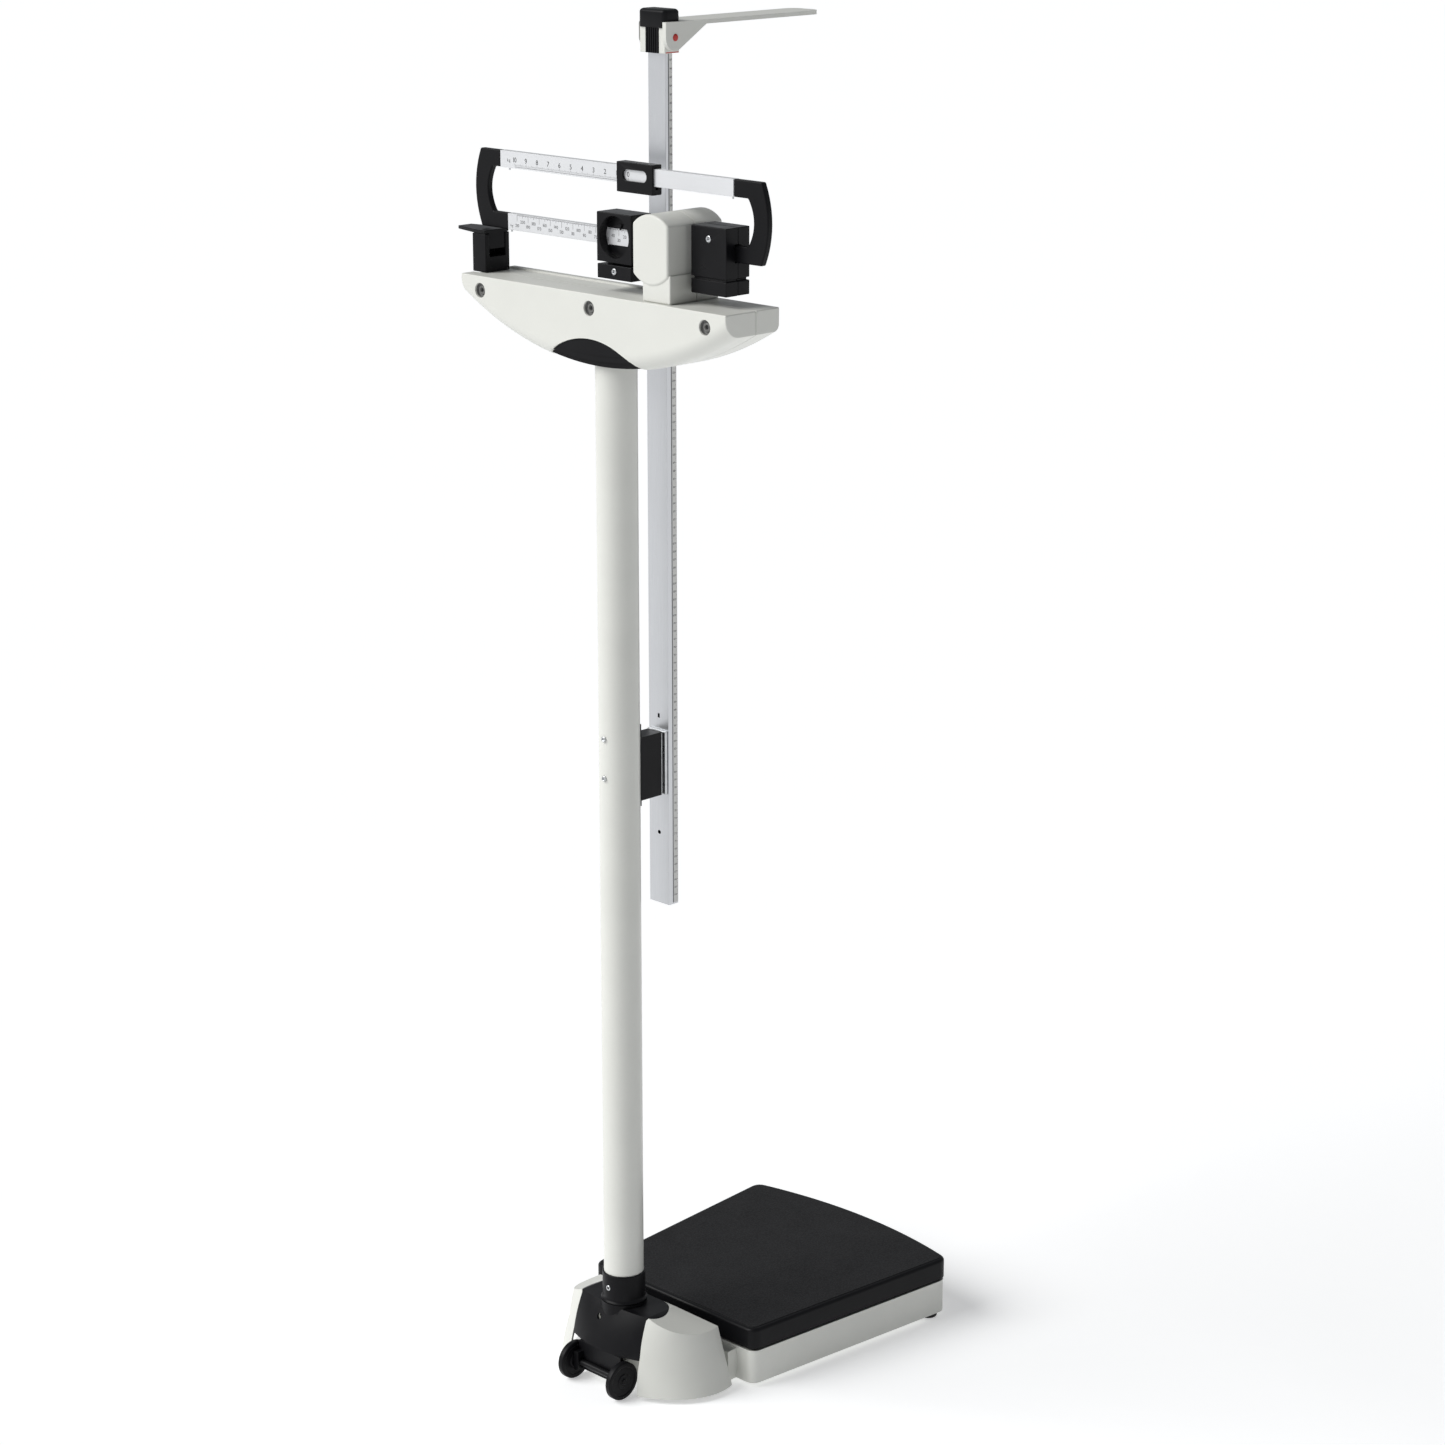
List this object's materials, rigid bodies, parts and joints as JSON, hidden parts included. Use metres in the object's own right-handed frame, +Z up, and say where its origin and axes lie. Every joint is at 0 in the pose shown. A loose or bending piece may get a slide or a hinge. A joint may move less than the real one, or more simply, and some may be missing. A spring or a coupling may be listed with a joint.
{
  "type": "physician beam scale",
  "caption": "Standing beam scale with a low platform, round column, sliding poises on a balance beam, and a telescopic height rod with a folding head arm.",
  "frame": {"origin": "on the floor, under the middle of the whole object's bounding box", "axes": "+Z up, +X along the beam towards its counterweight end, +Y from the column towards the platform's far edge"},
  "size_m": [0.522, 0.5224, 1.7288],
  "materials": {
    "ivory_plastic": "smooth moulded, soft sheen",
    "ivory_paint": "smooth powder paint",
    "black_plastic": "moulded with a soft sheen",
    "black_iron": "black enamel on cast iron",
    "mat_rubber": "fine matte grain",
    "foot_rubber": "matte",
    "aluminium": "satin anodised",
    "white_scale": "white enamel with black graduations",
    "steel": "plain zinc-plated",
    "lever_iron": "bare casting",
    "grey_plastic": "moulded",
    "red_plastic": "moulded"
  },
  "bodies": {
    "stand": {"base_frame": "ivory_paint", "foot_rear_left": "foot_rubber", "foot_front_left": "foot_rubber", "foot_rear_right": "foot_rubber", "foot_front_right": "foot_rubber", "base_cover": "black_plastic", "wing_right": "ivory_plastic", "wing_left": "ivory_plastic", "roller_bracket": "black_plastic", "wheel_axle": "steel", "column_collar": "black_plastic", "collar_screw": "steel", "column": "ivory_paint", "housing_front": "ivory_plastic", "housing_rear": "ivory_plastic", "housing_screw_1": "steel", "housing_screw_2": "steel", "housing_screw_3": "steel", "belly_cover": "black_plastic", "carrier_bar": "aluminium", "tower_front": "ivory_plastic", "tower_rear": "ivory_plastic", "bearing_front": "steel", "bearing_rear": "steel", "stop_post": "black_plastic", "outer_rod": "aluminium", "rod_bracket": "black_plastic", "rod_plate": "steel", "bracket_screw_1": "steel", "bracket_screw_2": "steel"},
    "wheel_l": {"wheel_left": "black_plastic"},
    "wheel_r": {"wheel_right": "black_plastic"},
    "platform": {"platform_tray": "black_plastic", "platform_mat": "mat_rubber", "platform_carrier": "steel"},
    "lever_main": {"main_lever": "lever_iron"},
    "lever_short": {"short_lever": "lever_iron"},
    "draft": {"draft_rod": "steel"},
    "beam": {"upper_beam": "white_scale", "lower_beam": "white_scale", "fulcrum_knife": "steel", "load_pin": "steel", "bow_left": "black_plastic", "bow_right": "black_plastic", "counterweight_front": "black_iron", "counterweight_rear": "black_iron", "counterweight_screw": "steel"},
    "poise_large": {"large_poise": "black_iron", "poise_clamp": "black_iron", "poise_screw": "steel"},
    "poise_small": {"small_poise": "black_iron"},
    "lock": {"beam_lock": "black_plastic"},
    "rod": {"inner_rod": "aluminium", "rod_cap": "black_plastic"},
    "slide": {"head_slide": "ivory_plastic", "slide_insert": "black_plastic", "arm_pin": "red_plastic"},
    "arm": {"measuring_arm": "ivory_plastic"},
    "latch": {"thumb_latch": "grey_plastic"}
  },
  "joints": [
    {"name": "wheel_left_turn", "type": "hinge", "parent": "stand", "child": "wheel_l", "pos_m": [-0.031, -0.23625, 0.025], "axis": [1, 0, 0], "continuous": true},
    {"name": "wheel_right_turn", "type": "hinge", "parent": "stand", "child": "wheel_r", "pos_m": [0.057, -0.23625, 0.025], "axis": [1, 0, 0], "continuous": true},
    {"name": "beam_tilt", "type": "hinge", "parent": "stand", "child": "beam", "pos_m": [0.112, -0.18325, 1.4644], "axis": [0, 1, 0], "range_deg": [0, 2]},
    {"name": "large_poise_slide", "type": "slide", "parent": "beam", "child": "poise_large", "axis": [1, 0, 0], "range_m": [-0.178, 0.03]},
    {"name": "small_poise_slide", "type": "slide", "parent": "beam", "child": "poise_small", "axis": [1, 0, 0], "range_m": [-0.197, 0]},
    {"name": "beam_lock_lift", "type": "slide", "parent": "stand", "child": "lock", "axis": [0, 0, 1], "range_m": [0, 0.0022]},
    {"name": "draft_rod_travel", "type": "slide", "parent": "stand", "child": "draft", "axis": [0, 0, 1], "range_m": [-0.00060528, 0]},
    {"name": "main_lever_tilt", "type": "hinge", "parent": "stand", "child": "lever_main", "pos_m": [0.013, 0.21125, 0.018], "axis": [1, 0, 0], "range_deg": [0, 0.087026]},
    {"name": "short_lever_tilt", "type": "hinge", "parent": "stand", "child": "lever_short", "pos_m": [0.013, -0.07075, 0.018], "axis": [1, 0, 0], "range_deg": [-0.047817, 0]},
    {"name": "platform_sink", "type": "slide", "parent": "stand", "child": "platform", "axis": [0, 0, 1], "range_m": [-0.000030378, 0]},
    {"name": "rod_extension", "type": "slide", "parent": "stand", "child": "rod", "axis": [0, 0, 1], "range_m": [-0.255, 0.4]},
    {"name": "head_slide_travel", "type": "slide", "parent": "rod", "child": "slide", "axis": [0, 0, 1], "range_m": [-0.52, 0]},
    {"name": "arm_fold", "type": "hinge", "parent": "slide", "child": "arm", "pos_m": [0.037, -0.11495, 1.6965], "axis": [1, 0, 0], "range_deg": [-90, 0]},
    {"name": "latch_press", "type": "hinge", "parent": "slide", "child": "latch", "pos_m": [-0.0095, -0.11355, 1.711], "axis": [0, 1, 0], "range_deg": [-4, 0], "stiffness_Nm_per_rad": 0.05}
  ],
  "couplings": [
    {"joint": "draft_rod_travel", "follows": "beam_tilt", "m_per_rad": -0.017},
    {"joint": "main_lever_tilt", "follows": "beam_tilt", "ratio": 0.04266},
    {"joint": "short_lever_tilt", "follows": "beam_tilt", "ratio": -0.02344},
    {"joint": "platform_sink", "follows": "beam_tilt", "m_per_rad": -0.0008532}
  ]
}
